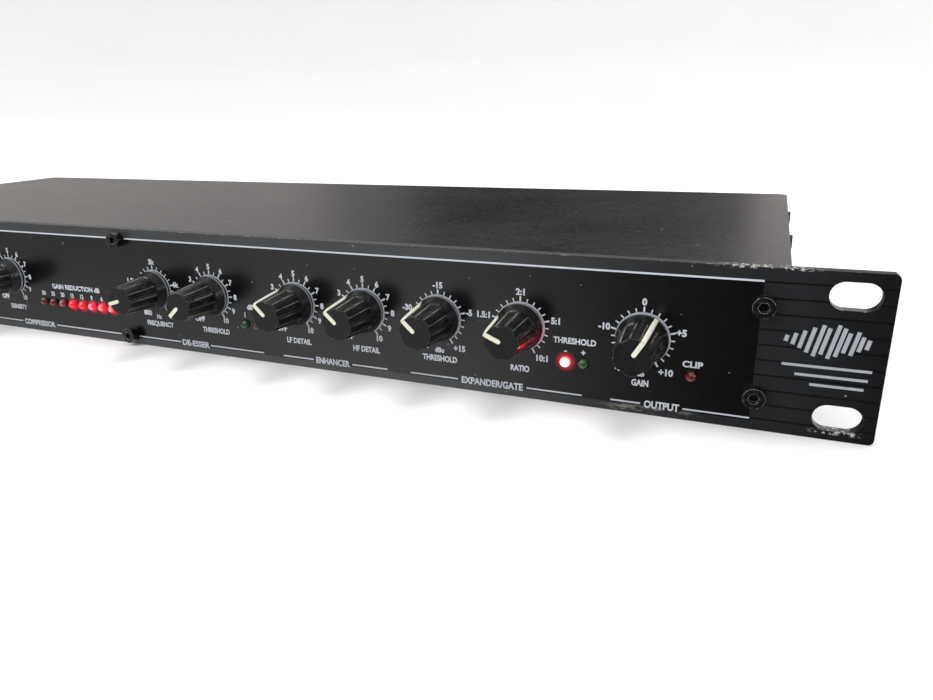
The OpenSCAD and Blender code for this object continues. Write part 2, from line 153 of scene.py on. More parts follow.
BUMP_DEPTH = 0.00012
DUST = (0.35, 0.33, 0.30)
SAWN_ROUGHNESS, WORN_ROUGHNESS = 0.62, 0.45


def finish(name, low, high, rough, metal=0.0, patch=45.0, grain=2600.0, bump=0.12,
           spread=0.07, rounding=0.0, wear=None, dust=0.0, stretch=None, sockets=None,
           extra=None, matte=None):
    """A painted, moulded or bare surface.

    low and high are two colours mixed by a slow noise of scale patch. grain is a fine one, which
    stretch may draw out, and it gives the bump and a roughness within spread of rough. rounding
    softens edges, and wear=(colour, width, amount) shows bare material along them. dust adds
    pale specks, extra repaints the colour, matte is 1 where the surface is dull, and sockets
    sets the shader's own."""
    material = bpy.data.materials.new(name)
    material.use_nodes = True
    tree = material.node_tree
    shader = tree.nodes["Principled BSDF"]
    shader.inputs["Metallic"].default_value = metal
    for key, value in (sockets or {}).items():
        shader.inputs[key].default_value = value
    where = place_of(tree)
    grained = stretched(tree, where, stretch) if stretch else where
    slow = remap(tree, noise(tree, where, patch, 4.0), 0.35, 0.65)
    fine = noise(tree, grained, grain, 2.0)
    colour = blend(tree, slow, low, high)
    if extra:
        colour = extra(tree, where, colour)
    roughness = maths(tree, "ADD", remap(tree, noise(tree, grained, grain * 0.21, 3.0),
                                         0.3, 0.7, rough - spread, rough + spread),
                      remap(tree, slow, 0, 1, -spread * 0.5, spread * 0.5))
    if matte:
        roughness = maths(tree, "MAXIMUM", roughness,
                          times(tree, matte(tree, where), SAWN_ROUGHNESS))
    if dust:
        speck = remap(tree, noise(tree, where, 700.0, 1.0, 0.2), 0.80 - dust, 0.82 - dust)
        colour = blend(tree, times(tree, speck, 0.5), colour, DUST)
    if wear:
        tone, width, amount = wear
        broken = remap(tree, noise(tree, where, 420.0, 5.0, 0.7), 0.66 - amount, 0.72 - amount)
        mask = times(tree, edge_mask(tree, width), broken)
        colour = blend(tree, mask, colour, tone)
        roughness = maths(tree, "MAXIMUM", roughness, times(tree, mask, WORN_ROUGHNESS))
        if metal < 0.5:
            tree.links.new(times(tree, mask, 0.8), shader.inputs["Metallic"])
    tree.links.new(colour, shader.inputs["Base Color"])
    tree.links.new(roughness, shader.inputs["Roughness"])
    inputs = {"Height": fine, "Strength": bump, "Distance": BUMP_DEPTH}
    if rounding:
        inputs["Normal"] = add(tree, "Bevel", {"Radius": rounding * MM}, samples=4).outputs[0]
    tree.links.new(add(tree, "Bump", inputs).outputs[0], shader.inputs["Normal"])
    return material


def band(tree, value, low, high, soft=0.06):
    """1 where low < value < high, in millimetres, on a coordinate in metres."""
    up = remap(tree, value, (low - soft) * MM, (low + soft) * MM)
    down = remap(tree, value, (high - soft) * MM, (high + soft) * MM, 1.0, 0.0)
    return times(tree, up, down)


def on_face(tree, axes, x_span, z_span, x_soft=0.06, z_soft=0.06):
    """1 in a rectangle of the panel's face."""
    return times(tree, band(tree, axes[0], *x_span, x_soft), band(tree, axes[2], *z_span, z_soft))


# Painted light and painted shade: a lighter tone for the panel's middle and a darker one for its
# ear ends
PAINTED_LIGHT_MIDDLE_TONE, PAINTED_SHADE_END_TONE = (0.031, 0.034, 0.0365), (0.0045, 0.0050, 0.0055)
FIELD_TONE = (0.0032, 0.0032, 0.0037)
# The pale tone is bare metal at the top edge's chips, and partly painted light on the rim under
# the lower slot
RUBBED_TONE, CHIPPED_AND_LIT_TONE = (0.26, 0.24, 0.22), (0.55, 0.53, 0.50)


def panel_zones(tree, where, colour):
    """Darker printed field between the ears, with the scuffs and chips of a used panel. The paint
    is also painted lighter towards the middle and darker towards the ear ends, as painted light
    and painted shade, and the rim under the right lower slot is partly worn paint and partly
    painted light.
    """
    axes = axes_of(tree, where)
    # Painted light towards the middle and painted shade towards the ear ends, not a change in the
    # paint itself
    inner = remap(tree, maths(tree, "ABSOLUTE", axes[0]), 120.0 * MM, 214.0 * MM, 1.0, 0.0)
    colour = blend(tree, inner, colour, PAINTED_LIGHT_MIDDLE_TONE)
    outer = remap(tree, maths(tree, "ABSOLUTE", axes[0]), 222.0 * MM, 240.0 * MM, 0.0, 0.75)
    colour = blend(tree, outer, colour, PAINTED_SHADE_END_TONE)
    field = times(tree, on_face(tree, axes, (-FIELD_EDGE, FIELD_EDGE), (-19.35, TOP_LINE_Z)),
                  remap(tree, axes[1], -2.9 * MM, -2.8 * MM, 1, 0))
    colour = blend(tree, field, colour, FIELD_TONE)
    scuff = on_face(tree, axes, (174.0, 197.0), (-21.3, -19.4), 3.0, 0.5)
    rubbed = remap(tree, noise(tree, stretched(tree, where, (0.5, 1, 1.6)), 520.0, 5.0, 0.7),
                   0.50, 0.66)
    colour = blend(tree, times(tree, scuff, rubbed, 0.75), colour, RUBBED_TONE)
    top_edge = on_face(tree, axes, (203.0, 223.0), (21.45, 22.5), 3.0, 0.25)
    # A pale rim along the right lower slot's bottom wall: partly worn paint, partly painted light
    # where light falls on that wall
    worn_and_lit_slot_rim = on_face(tree, axes, (227.5, 237.5), (-20.1, -19.2), 1.5, 0.3)
    broken = remap(tree, noise(tree, where, 1100.0, 4.0, 0.65), 0.53, 0.58)
    chip = times(tree, maths(tree, "MAXIMUM", top_edge, worn_and_lit_slot_rim), broken)
    return blend(tree, chip, colour, CHIPPED_AND_LIT_TONE)


def panel_rim(tree, where):
    """1 on the panel's sawn top and bottom edges, duller than its face."""
    height = maths(tree, "ABSOLUTE", axes_of(tree, where)[2])
    return remap(tree, height, 21.70 * MM, 21.80 * MM)


def lamp_halo(material, lit, reach, strength):
    """Red light from the lit lamps, at each x in lit, on the paint close to them."""
    tree = material.node_tree
    shader = tree.nodes["Principled BSDF"]
    where = place_of(tree)
    total = 0.0
    for x in lit:
        offset = add(tree, "VectorMath", {0: where, 1: mm(x, 0, LAMP_Z)},
                     operation="SUBTRACT").outputs[0]
        flat = add(tree, "VectorMath", {0: offset, 1: (1, 0, 1)}, operation="MULTIPLY").outputs[0]
        away = add(tree, "VectorMath", {0: flat}, operation="LENGTH").outputs["Value"]
        near = remap(tree, away, 1.3 * MM, reach * MM, 1.0, 0.0, smooth=True)
        total = maths(tree, "ADD", total, maths(tree, "POWER", near, 1.6))
    shader.inputs["Emission Color"].default_value = (1.0, 0.01, 0.03, 1.0)
    tree.links.new(times(tree, total, strength), shader.inputs["Emission Strength"])


SCRATCH_TONE, STREAK_WEAR_AND_HIGHLIGHT_TONE = (0.125, 0.122, 0.115), (0.30, 0.29, 0.25)
# The pale tone of the skirt's rim is a painted highlight
SKIRT_RIM_HIGHLIGHT_TONE = (0.20, 0.215, 0.235)
SIDE = 60.0                            # a knob has six sides, and the pointer is on one
# Pale streaks on every side: a thin line at one border of each flat, partly edge wear and partly
# painted highlight, and a broad painted highlight across the ridge beside it
HIGHLIGHT_STREAKS = [(-12.2, 1.3, 1.0), (19.5, 3.2, 0.42)]   # angle from a side's middle, half width, level


def handled(tree, where, colour):
    """Fine pale scratches and dust along a knob's side, which leave its flat face clean, with
    painted highlights: pale streaks along the sides and a pale skirt rim.
    """
    x, deep, z = axes_of(tree, where)
    side = remap(tree, deep, -16.3 * MM, -15.9 * MM)
    grip = remap(tree, deep, -5.4 * MM, -5.0 * MM, 1.0, 0.0)
    long = stretched(tree, where, (1.0, 0.22, 1.0))
    scratch = remap(tree, noise(tree, long, 2600.0, 3.0, 0.7), 0.54, 0.72, 0.0, 0.7)
    dusty = remap(tree, noise(tree, where, 240.0, 3.0, 0.6), 0.40, 0.60)
    colour = blend(tree, times(tree, scratch, dusty, side), colour, SCRATCH_TONE)
    turn = maths(tree, "ADD", maths(tree, "ARCTAN2", x, z), math.radians(SIDE / 2 + 360))
    off = maths(tree, "SUBTRACT", maths(tree, "MODULO", turn, math.radians(SIDE)),
                math.radians(SIDE / 2))
    # Painted highlights: pale streaks at fixed angles round the knob, broken up by noise
    highlight_breakup = remap(tree, noise(tree, long, 900.0, 3.0, 0.6), 0.36, 0.60)
    for centre, half, level in HIGHLIGHT_STREAKS:
        away = maths(tree, "ABSOLUTE", maths(tree, "SUBTRACT", off, math.radians(centre)))
        near = remap(tree, away, math.radians(half * 0.5), math.radians(half), 1, 0)
        colour = blend(tree, times(tree, near, highlight_breakup, level, side, grip), colour, STREAK_WEAR_AND_HIGHLIGHT_TONE)
    # Painted highlight: the skirt's outer rim is painted pale all round, for light caught by its
    # edge
    rim = remap(tree, distance(tree, x, z), 7.00 * MM, 7.06 * MM)
    return blend(tree, rim, colour, SKIRT_RIM_HIGHLIGHT_TONE)


def glow(name, colour, strength, body, pallor=1.0, spot=(0.5, 1.4)):
    """A lamp's lens: a tinted resin that also gives light, brightest at its middle.

    spot is where the middle starts to fade and where it ends, and pallor how pale it is."""
    material = finish(name, tuple(c * 0.8 for c in body), body, 0.18, patch=900.0,
                      grain=4000.0, bump=0.03, spread=0.04,
                      sockets={"Coat Weight": 0.6, "Coat Roughness": 0.08,
                               "Subsurface Weight": 0.25, "Subsurface Scale": 0.0008})
    tree = material.node_tree
    shader = tree.nodes["Principled BSDF"]
    if strength:
        x, _, z = axes_of(tree, place_of(tree))
        core = remap(tree, distance(tree, x, z), spot[0] * MM, spot[1] * MM, 1.0, 0.0, smooth=True)
        pale = blend(tree, times(tree, core, pallor), colour, (1.0, 0.72, 0.70))
        tree.links.new(pale, shader.inputs["Emission Color"])
        tree.links.new(remap(tree, core, 0, 1, strength * 0.35, strength),
                       shader.inputs["Emission Strength"])
    return material


BARE = (0.62, 0.60, 0.57)
PRINT = (0.50, 0.545, 0.60)
M = {
    "panel": finish("panel_paint", (0.0135, 0.0150, 0.0167), (0.0158, 0.0175, 0.0195), 0.22,
                    patch=30, grain=3200, bump=0.02, spread=0.03, rounding=0.25,
                    wear=(BARE, 0.22, 0.10), dust=0.006, extra=panel_zones, matte=panel_rim),
    "case": finish("case_paint", (0.0085, 0.0078, 0.0085), (0.0115, 0.0108, 0.0115), 0.27,
                   patch=25, grain=2600, bump=0.02, spread=0.03, rounding=0.5,
                   wear=((0.30, 0.29, 0.28), 0.35, 0.06), dust=0.004),
    "screw": finish("screw_oxide", (0.020, 0.020, 0.021), (0.05, 0.05, 0.052), 0.24,
                    metal=0.85, patch=700, grain=5000, bump=0.15, rounding=0.15,
                    wear=((0.42, 0.41, 0.39), 0.35, 0.20)),
    "knob": finish("knob_plastic", (0.0035, 0.0035, 0.004), (0.0065, 0.0065, 0.007), 0.34,
                   patch=260, grain=5200, bump=0.06, spread=0.08, rounding=0.05,
                   wear=((0.30, 0.29, 0.27), 0.14, 0.24), extra=handled,
                   sockets={"Specular IOR Level": 0.30}),
    "pointer": finish("pointer_ivory", (0.62, 0.60, 0.50), (0.72, 0.70, 0.60), 0.42,
                      patch=500, grain=4000, bump=0.08, rounding=0.12),
    "print": finish("print_ink", tuple(c * 0.93 for c in PRINT), PRINT, 0.50,
                    patch=350, grain=4200, bump=0.10),
    "stripe": finish("stripe_ink", (0.0015, 0.0015, 0.002), (0.003, 0.003, 0.0035), 0.55,
                     patch=200, grain=3600, bump=0.08, sockets={"Specular IOR Level": 0.10}),
    # Painted shade: the badge ink is painted darker than the other print, for the weaker light on
    # the ear
    "badge": finish("badge_ink_with_painted_shade", tuple(c * 0.56 for c in PRINT), tuple(c * 0.62 for c in PRINT),
                    0.50, patch=350, grain=4200, bump=0.10),
    "shaft": finish("shaft_aluminium", (0.62, 0.62, 0.63), (0.72, 0.72, 0.73), 0.34, metal=1.0,
                    patch=300, grain=2600, stretch=(1, 9, 1), bump=0.10),
    "button": finish("button_plastic", (0.030, 0.031, 0.034), (0.042, 0.043, 0.047), 0.42,
                     patch=220, grain=3800, bump=0.16, rounding=0.25,
                     wear=((0.16, 0.16, 0.17), 0.3, 0.10)),
    "moulding": finish("moulding_black", (0.010, 0.010, 0.011), (0.017, 0.017, 0.018), 0.45,
                       patch=150, grain=2800, bump=0.20, rounding=0.25, dust=0.006),
    "rocker": finish("rocker_plastic", (0.010, 0.010, 0.010), (0.016, 0.016, 0.016), 0.28,
                     patch=200, grain=4200, bump=0.06, rounding=0.3),
    "pot": finish("pot_moulded", (0.012, 0.045, 0.105), (0.018, 0.062, 0.140), 0.42,
                  patch=220, grain=2600, bump=0.14, rounding=0.2),
    "brass": finish("brass_turned", (0.60, 0.43, 0.17), (0.72, 0.53, 0.23), 0.30, metal=1.0,
                    patch=300, grain=2400, stretch=(1, 6, 1), bump=0.12, rounding=0.1),
    "zinc": finish("zinc_plate", (0.55, 0.56, 0.56), (0.68, 0.69, 0.68), 0.32, metal=1.0,
                   patch=400, grain=1800, bump=0.15, rounding=0.15),
    "nickel": finish("socket_nickel", (0.46, 0.46, 0.45), (0.58, 0.575, 0.56), 0.30, metal=1.0,
                     patch=260, grain=2400, bump=0.16, rounding=0.2,
                     wear=((0.80, 0.79, 0.77), 0.3, 0.10)),
    "board": finish("board_laminate", (0.012, 0.085, 0.030), (0.018, 0.120, 0.042), 0.36,
                    patch=120, grain=1500, bump=0.18),
    "sleeve": finish("capacitor_sleeve", (0.012, 0.018, 0.050), (0.018, 0.026, 0.075), 0.30,
                     patch=200, grain=1500, bump=0.06, rounding=0.4),
    "chip": finish("chip_epoxy", (0.014, 0.014, 0.014), (0.024, 0.024, 0.023), 0.55,
                   patch=300, grain=5000, bump=0.25),
    "fins": finish("fins_anodised", (0.020, 0.020, 0.022), (0.032, 0.032, 0.034), 0.40,
                   metal=0.4, patch=150, grain=3000, bump=0.12, rounding=0.2),
    "core": finish("core_steel", (0.16, 0.155, 0.15), (0.25, 0.24, 0.23), 0.45, metal=0.9,
                   patch=90, grain=2400, stretch=(1, 14, 1), bump=0.35),
    "tape": finish("winding_tape", (0.62, 0.42, 0.08), (0.75, 0.54, 0.13), 0.38,
                   patch=110, grain=700, stretch=(0.3, 6, 1), bump=0.25, rounding=0.4),
    "wire": finish("wire_brown", (0.09, 0.035, 0.016), (0.13, 0.052, 0.022), 0.35,
                   patch=400, grain=2500, bump=0.08),
    "ribbon": finish("ribbon_grey", (0.30, 0.30, 0.31), (0.42, 0.42, 0.43), 0.45,
                     patch=160, grain=900, stretch=(9, 1, 1), bump=0.35),
}


def pins_in_a_disc():
    """The male socket's insert: bright pins that stand on a black moulded disc."""
    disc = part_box("xlr_output_insert")[0].y + 2.2 * MM

    def on_pins(tree, where):
        return remap(tree, axes_of(tree, where)[1], disc, disc + 0.1 * MM)

    def tint(tree, where, colour):
        return blend(tree, on_pins(tree, where), (0.012, 0.012, 0.012), colour)

    material = finish("socket_insert", (0.60, 0.43, 0.17), (0.72, 0.53, 0.23), 0.32,
                      patch=300, grain=2400, bump=0.10, extra=tint)
    tree = material.node_tree
    tree.links.new(on_pins(tree, place_of(tree)), tree.nodes["Principled BSDF"].inputs["Metallic"])
    return material


M["insert"] = pins_in_a_disc()

CAD_FINISH = {  # material: the CAD nodes that show in it
    "panel": ["front_panel"], "case": ["chassis_tray", "front_plate", "rear_plate", "top_cover"],
    "screw": ["panel_screws", "cover_screws"],
    "zinc": ["fixing_screws", "pot_nuts", "jack_nuts", "xlr_latch"],
    "pot": ["pot_bodies"], "brass": ["pot_bushings", "board_standoffs", "inlet_pins"],
    "insert": ["xlr_output_insert"],
    "moulding": ["switch_bodies", "inlet_body", "rocker_housing", "jack_bodies",
                 "xlr_input_insert"],
    "rocker": ["power_rocker"],
    "nickel": ["xlr_input_shell", "xlr_output_shell"],
    "board": ["front_board", "main_board"], "ribbon": ["board_link"],
    "sleeve": ["filter_capacitors", "small_capacitors"], "chip": ["ic_chips"],
    "fins": ["heat_sink"], "core": ["transformer_core"], "tape": ["transformer_coil"],
    "wire": ["mains_harness"],
}


def dress(obj, key):
    obj.data.materials.clear()
    obj.data.materials.append(M[key])


for key, names in CAD_FINISH.items():
    for name in names:
        dress(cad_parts[name], key)

KNOBS = {  # name: (centre x, the pointer's angle at rest)
    "mic_gain": (-127.0, -20), "drive": (-90.4, 10), "density": (-64.6, -35),
    "frequency": (11.0, -107), "deess_threshold": (36.8, -132), "lf_detail": (71.85, -46),
    "hf_detail": (97.65, -47), "gate_threshold": (123.45, -47), "ratio": (149.25, -67),
    "output_gain": (183.8, 31),
}
for knob in KNOBS:
    dress(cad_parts["shaft_" + knob], "shaft")


# ---------------------------------------------------------------- mesh helpers

def add_object(name, data):
    obj = bpy.data.objects.new(name, data)
    bpy.context.scene.collection.objects.link(obj)
    return obj


def as_mesh(name, bm):
    mesh = bpy.data.meshes.new(name)
    bmesh.ops.recalc_face_normals(bm, faces=bm.faces)
    bm.to_mesh(mesh)
    bm.free()
    return mesh


def smoothed(mesh, material, crease):
    """Gives a mesh its material and shades it smooth up to the crease angle."""
    mesh.materials.append(material)
    mesh.shade_smooth()
    mesh.set_sharp_from_angle(angle=math.radians(crease))


def make(name, bm, key, body="case"):
    """Turns a drawn bmesh into a piece that rides on a body."""
    obj = add_object(name, as_mesh(name, bm))
    obj.data.materials.append(M[key])
    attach(obj, body)


def skin(bm, rows):
    """Quads between each closed row of vertices and the next."""
    for a, b in zip(rows, rows[1:]):
        for i in range(len(a)):
            j = (i + 1) % len(a)
            bm.faces.new((a[i], a[j], b[j], b[i]))


def slab(bm, outline, front, back):
    """A thin plate: outline is a list of (x, z), between two y planes, all in millimetres."""
    near = [bm.verts.new(mm(x, front, z)) for x, z in outline]
    far = [bm.verts.new(mm(x, back, z)) for x, z in outline]
    bm.faces.new(near)
    bm.faces.new(list(reversed(far)))
    for i, a in enumerate(near):
        j = (i + 1) % len(near)
        bm.faces.new((near[j], a, far[i], far[j]))


def bar(bm, x0, z0, x1, z1, width, front=PANEL_FACE - PRINT_PROUD, back=PANEL_FACE):
    """A straight printed line of one width from one point to another."""
    along = Vector((x1 - x0, z1 - z0)).normalized() * width / 2
    across = Vector((-along.y, along.x))
    slab(bm, [(x0 - across.x, z0 - across.y), (x1 - across.x, z1 - across.y),
              (x1 + across.x, z1 + across.y), (x0 + across.x, z0 + across.y)], front, back)


def clock(cx, cz, radius, degrees):
    """A point at an angle clockwise from the top."""
    a = math.radians(degrees)
    return cx + radius * math.sin(a), cz + radius * math.cos(a)


def ring(bm, y, radii):
    """A closed row of vertices round the y axis, with a radius for each."""
    points = [clock(0, 0, r, 360.0 * i / len(radii)) for i, r in enumerate(radii)]
    return [bm.verts.new(mm(x, y, z)) for x, z in points]


def arc(bm, cx, cz, radius, width, start, end, steps=60):
    """A printed ring segment, built as one closed band."""
    rings = []
    for i in range(steps + 1):
        angle = start + (end - start) * i / steps
        (xo, zo), (xi, zi) = (clock(cx, cz, radius + s * width / 2, angle) for s in (1, -1))
        near, far = PANEL_FACE - PRINT_PROUD, PANEL_FACE
        rings.append([bm.verts.new(mm(*p)) for p in
                      ((xo, near, zo), (xi, near, zi), (xi, far, zi), (xo, far, zo))])
    skin(bm, rings)
    bm.faces.new(rings[0])
    bm.faces.new(list(reversed(rings[-1])))


_glyphs = {}


def lettering(text, weight):
    """Vertices and faces of a line of text one cap high, centred, thin and closed."""
    if (text, weight) not in _glyphs:
        curve = bpy.data.curves.new("line", "FONT")
        curve.body, curve.align_x = text, "CENTER"
        curve.extrude, curve.offset, curve.resolution_u = 0.02, weight, 3
        obj = add_object("line", curve)
        bpy.context.view_layer.update()
        mesh = bpy.data.meshes.new_from_object(obj)
        points = [tuple(v.co) for v in mesh.vertices]
        faces = [tuple(p.vertices) for p in mesh.polygons]
        bpy.data.objects.remove(obj)
        bpy.data.curves.remove(curve)
        bpy.data.meshes.remove(mesh)
        _glyphs[text, weight] = points, faces
    return _glyphs[text, weight]


CAP = max(p[1] for p in lettering("H", 0.0)[0])


def write(bm, text, x, z, cap, width=None, weight=0.036, squeeze=0.9, face=PANEL_FACE, out=-1.0):
    """Text of cap height cap, centred on (x, z).

    width fixes its length, otherwise squeeze narrows the letters. weight thickens them. out is
    -1 on a face that looks to the front, and +1 on one that looks to the back."""
    points, faces = lettering(text, weight)
    low, high = min(p[0] for p in points), max(p[0] for p in points)
    tall = cap / CAP
    wide = width / (high - low) if width else tall * squeeze
    middle = (low + high) / 2
    made = []
    for px, py, pz in points:
        depth = face + out * (PRINT_PROUD if pz > 0 else 0.0)
        dx = (px - middle) * wide
        made.append(bm.verts.new(mm(x - out * dx, depth, z - cap / 2 + py * tall)))
    for face_points in faces:
        bm.faces.new([made[i] for i in face_points])


# ---------------------------------------------------------------- panel print

TURN = 150                             # a control's range, either way from the top
RING_R, NUMBER_R = 7.1, 10.15          # a dial's printed ring, and the middle of its numbers
TICK_START, TICK_END, MAJOR_END = 7.2, 8.5, 8.9
TOP_MARK_Z, SIDE_MARK_Z, END_MARK_Z = KNOB_Z + 10.2, KNOB_Z + 2.5, KNOB_Z - 9.1
UNIT_Z, LABEL_Z = -9.9, -12.65
MARK_CAP, UNIT_CAP, LABEL_CAP = 1.74, 1.5, 1.75
# What is printed at each angle of a dial
GAIN_MARKS = {0: "0", -75: "-10", 75: "+5", 150: "+10", -150: "-20"}
RATIO_MARKS = {0: "2:1", -75: "1.5:1", 75: "5:1", 150: "10:1", -150: "1:1"}
GATE_MARKS = {0: "-15", -75: "-30", 75: "-5", 150: "+15", -150: "OFF"}
FREQUENCY_MARKS = {0: "3k", -75: "1.5k", 75: "6k", 150: "10k", -150: "800"}
MIC_MARKS = {0: "30", -75: "15", 75: "45", 150: "60", -150: "0"}
TEN_MARKS = {-TURN + 30 * i: str(i) for i in range(1, 11)}
TEN_MARKS[-TURN] = "OFF"
DIALS = {  # knob: (marks, label, the label's width, unit)
    "mic_gain": (MIC_MARKS, "MIC GAIN", 8.6, "dB"), "drive": (TEN_MARKS, "DRIVE", 5.7, ""),
    "density": (TEN_MARKS, "DENSITY", 9.3, ""),
    "frequency": (FREQUENCY_MARKS, "FREQUENCY", 12.6, "Hz"),
    "deess_threshold": (TEN_MARKS, "THRESHOLD", 11.85, ""),
    "lf_detail": (TEN_MARKS, "LF DETAIL", 9.7, ""),
    "hf_detail": (TEN_MARKS, "HF DETAIL", 9.85, ""),
    "gate_threshold": (GATE_MARKS, "THRESHOLD", 11.6, "dBu"),
    "ratio": (RATIO_MARKS, "RATIO", 5.75, ""), "output_gain": (GAIN_MARKS, "GAIN", 4.6, "dB"),
}


def mark_place(cx, angle, text, tens):
    """Where a dial's mark is printed. Its two ends stand below the knob, side by side."""
    if text == "OFF" or (not tens and abs(angle) == TURN):
        side = 1 if angle > 0 else -1
        x = cx + side * (6.6 if tens else 6.3)
        if not tens:
            x += 1.0 if side < 0 else 0.35 * min(1, len(text) - 2)
        return x, END_MARK_Z
    if tens:
        return clock(cx, KNOB_Z, NUMBER_R, angle)
    if angle == 0:
        return cx, TOP_MARK_Z
    return cx + math.copysign(9.15 + 0.42 * len(text), angle), SIDE_MARK_Z


def dial(lines, letters, knob):
    cx = KNOBS[knob][0]
    marks, label, width, unit = DIALS[knob]
    arc(lines, cx, KNOB_Z, RING_R, 0.5, -TURN, TURN)
    for angle in range(-TURN, TURN + 1, 15):
        major = angle in marks
        inner = clock(cx, KNOB_Z, TICK_START, angle)
        outer = clock(cx, KNOB_Z, MAJOR_END if major else TICK_END, angle)
        bar(lines, *inner, *outer, 0.5 if major else 0.38)
    for angle, text in marks.items():
        x, z = mark_place(cx, angle, text, marks is TEN_MARKS)
        write(letters, text, x, z, MARK_CAP, weight=0.046, squeeze=0.96)
    write(letters, label, cx, LABEL_Z, LABEL_CAP, width)
    if unit:
        write(letters, unit, cx, UNIT_Z, UNIT_CAP)


SECTIONS = [  # (heading, x of the line on its left, on its right, and of the heading)
    ("OUTPUT", (176.0, 184.25), (195.5, FIELD_EDGE), (185.25, 194.65)),
    ("EXPANDER/GATE", (113.25, 129.4), (151.35, 167.85), (130.6, 150.15)),
    ("ENHANCER", (64.85, 77.0), (92.0, 104.9), (78.0, 91.0)),
    ("DE-ESSER", (-1.5, 19.65), (33.4, 56.65), (20.4, 32.9)),
    ("COMPRESSOR", (-98.5, -63.9), (-44.4, -9.7), (-62.9, -45.3)),
    ("MIC INPUT", (-FIELD_EDGE, -166.2), (-152.8, -106.7), (-165.2, -153.8)),
]
SMALL_PRINT = [  # (text, x, z, width)
    ("dB", 52.8, -2.65, None), ("1", 50.3, -5.6, None), ("6", 55.4, -5.6, None),
    ("THRESHOLD", 165.25, -2.6, 12.25), ("-", 162.75, -5.5, 0.9), ("+", 167.85, -5.75, None),
    ("CLIP", 197.2, -5.65, 5.25), ("PEAK", PEAK_LAMP_X, -5.65, 5.4),
    ("+48V", BUTTON_X[0], -7.2, 5.2), ("80 Hz", BUTTON_X[1], -7.2, 6.0),
    ("BYPASS", BUTTON_X[2], -7.2, 7.4),
]


def print_panel():
    lines, letters = bmesh.new(), bmesh.new()
    bar(lines, -FIELD_EDGE, TOP_LINE_Z, FIELD_EDGE, TOP_LINE_Z, 0.5)
    for heading, left, right, (a, b) in SECTIONS:
        bar(lines, left[0], HEADING_Z, left[1], HEADING_Z, 0.45)
        bar(lines, right[0], HEADING_Z, right[1], HEADING_Z, 0.45)
        write(letters, heading, (a + b) / 2, HEADING_Z, 2.0, b - a)
    for knob in KNOBS:
        dial(lines, letters, knob)
    for i, text in enumerate("30 25 20 15 12 9 6 3".split()):
        write(letters, text, METER_X + METER_STEP * i, -5.6, 1.55)
    write(letters, "GAIN REDUCTION dB", -30.0, -2.45, 1.75, 25.3)
    for text, x, z, width in SMALL_PRINT:
        write(letters, text, x, z, 1.65, width)
    make("panel_lines", lines, "print")
    make("panel_lettering", letters, "print")


STRIPE_TOP, STRIPE_STEP, STRIPE_PROUD = 18.15, 4.078, 0.012
BADGE_X, BADGE_Z, BADGE_STEP = 218.6, 4.2, 1.62
BADGE_HEIGHTS = (1.6, 3.0, 4.6, 6.6, 8.2, 6.9, 8.8, 7.4, 5.2, 6.1, 3.8, 2.4)
BADGE_LINES = ((-2.6, 218.4, 238.4), (-5.0, 221.6, 237.8), (-7.4, 225.2, 237.2))


def print_ears():
    """Ten dark stripes on each ear and a plain row of level bars where a badge would be."""
    stripes, badge = bmesh.new(), bmesh.new()
    for side in (-1, 1):
        for i in range(10):
            z = STRIPE_TOP - STRIPE_STEP * i
            spans = [(FIELD_EDGE, EAR_EDGE)]
            if abs(abs(z) - SLOT_Z) < SLOT_R + 0.15:     # the stripe stops at the ear's slot
                bow = math.sqrt(max(0, SLOT_R ** 2 - (abs(z) - SLOT_Z) ** 2))
                half = SLOT_HALF - max(0.0, SLOT_R - bow)
                spans = [(FIELD_EDGE, SLOT_X - half), (SLOT_X + half, EAR_EDGE)]
            for a, b in spans:
                bar(stripes, side * a, z, side * b, z, 0.45, front=PANEL_FACE - STRIPE_PROUD)
    for i, tall in enumerate(BADGE_HEIGHTS):
        x = BADGE_X + i * BADGE_STEP
        bar(badge, x, BADGE_Z - tall / 2, x + 0.22 * tall, BADGE_Z + tall / 2, 0.95)
    for z, a, b in BADGE_LINES:
        bar(badge, a, z, b, z, 0.7)
    make("ear_stripes", stripes, "stripe")
    make("ear_badge", badge, "badge")


# ---------------------------------------------------------------- knobs

PROFILE = [  # (height above the panel, radius) of the knob's outside, base to face
    (0.8, 6.1), (0.8, 7.0), (0.86, 7.1), (1.34, 7.1), (1.45, 7.06), (1.9, 6.9), (2.7, 6.58),
    (3.5, 6.32), (3.85, 6.20), (4.05, 6.12), (4.3, 6.02), (4.6, 5.95), (4.9, 5.91), (6.5, 5.78),
    (8.5, 5.63), (10.5, 5.47), (12.5, 5.32), (14.5, 5.16), (15.6, 5.07), (16.3, 5.02),
    (16.44, 4.99), (16.5, 4.90),
]
KNOB_TOP = PROFILE[-1][0]
ROUND = 288                            # points round a knob
FLUTE_DEPTH, FLUTE_HALF, FLUTE_SOFT = 0.34, 1.14, 0.13
FLUTE_START, FLUTE_RISE = 4.6, 0.3     # where a flat starts above the panel, and runs in over
FLUTE_R = 5.4                          # the radius at which the flat's half width is measured


def flute(angle, height):
    """How far the side is cut in at an angle: five shallow flats with soft borders."""
    best = 0.0
    for centre in (60, 120, 180, 240, 300):
        off = abs((angle - centre + 180) % 360 - 180) * math.pi / 180 * FLUTE_R
        best = max(best, min(1.0, max(0.0, (FLUTE_HALF - off) / FLUTE_SOFT)))
    rise = min(1.0, max(0.0, (height - FLUTE_START) / FLUTE_RISE))
    return FLUTE_DEPTH * best * rise


